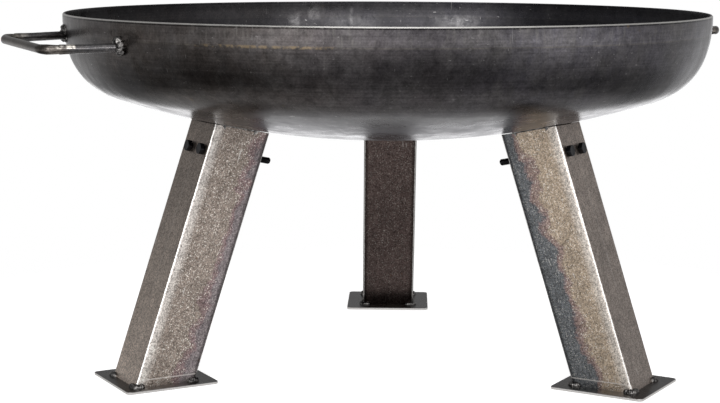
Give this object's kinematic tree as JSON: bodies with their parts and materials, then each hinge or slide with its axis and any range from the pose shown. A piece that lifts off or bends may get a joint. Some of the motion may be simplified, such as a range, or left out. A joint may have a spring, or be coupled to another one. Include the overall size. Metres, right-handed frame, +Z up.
{
  "type": "fire bowl",
  "caption": "Round pressed steel fire bowl with two rod handles, on splayed square-tube legs with welded foot plates, bolted on under the dish.",
  "frame": {"origin": "on the ground under the bowl's axis, the centre of the bounding box's bottom", "axes": "+Z up along the bowl's axis, +Y towards the back leg, +X to the right as seen from the front, so the front legs point to 210 and 330 degrees"},
  "size_m": [0.8902, 0.8, 0.435],
  "materials": {
    "bowl_steel": "pressed hot-rolled sheet, dark grey satin mill scale, bare ground edge at the rim",
    "rod_steel": "bent hot-rolled rod, brown-grey satin scale with bright rubbed spots at the bends",
    "leg_steel": "hot-rolled square tube, warm beige-grey with blue-grey mill scale bands and small rust specks",
    "plate_steel": "cut steel plate, mid grey satin with bright cut edges",
    "socket_steel": "rectangular steel tube, dark mill scale",
    "weld_metal": "weld bead, dark with shiny ripples",
    "bolt_steel": "black oxide, satin",
    "nut_steel": "plain dark steel, satin"
  },
  "bodies": {
    "root": {"bowl": "bowl_steel", "handle_left": "rod_steel", "handle_welds_left": "weld_metal", "handle_right": "rod_steel", "handle_welds_right": "weld_metal", "leg_back": "leg_steel", "foot_plate_back": "plate_steel", "foot_welds_back": "weld_metal", "socket_back": "socket_steel", "socket_weld_back": "weld_metal", "leg_left": "leg_steel", "foot_plate_left": "plate_steel", "foot_welds_left": "weld_metal", "socket_left": "socket_steel", "socket_weld_left": "weld_metal", "leg_right": "leg_steel", "foot_plate_right": "plate_steel", "foot_welds_right": "weld_metal", "socket_right": "socket_steel", "socket_weld_right": "weld_metal", "bolt_back_a": "bolt_steel", "nut_back_a": "nut_steel", "bolt_back_b": "bolt_steel", "nut_back_b": "nut_steel", "bolt_left_a": "bolt_steel", "nut_left_a": "nut_steel", "bolt_left_b": "bolt_steel", "nut_left_b": "nut_steel", "bolt_right_a": "bolt_steel", "nut_right_a": "nut_steel", "bolt_right_b": "bolt_steel", "nut_right_b": "nut_steel"}
  },
  "joints": []
}
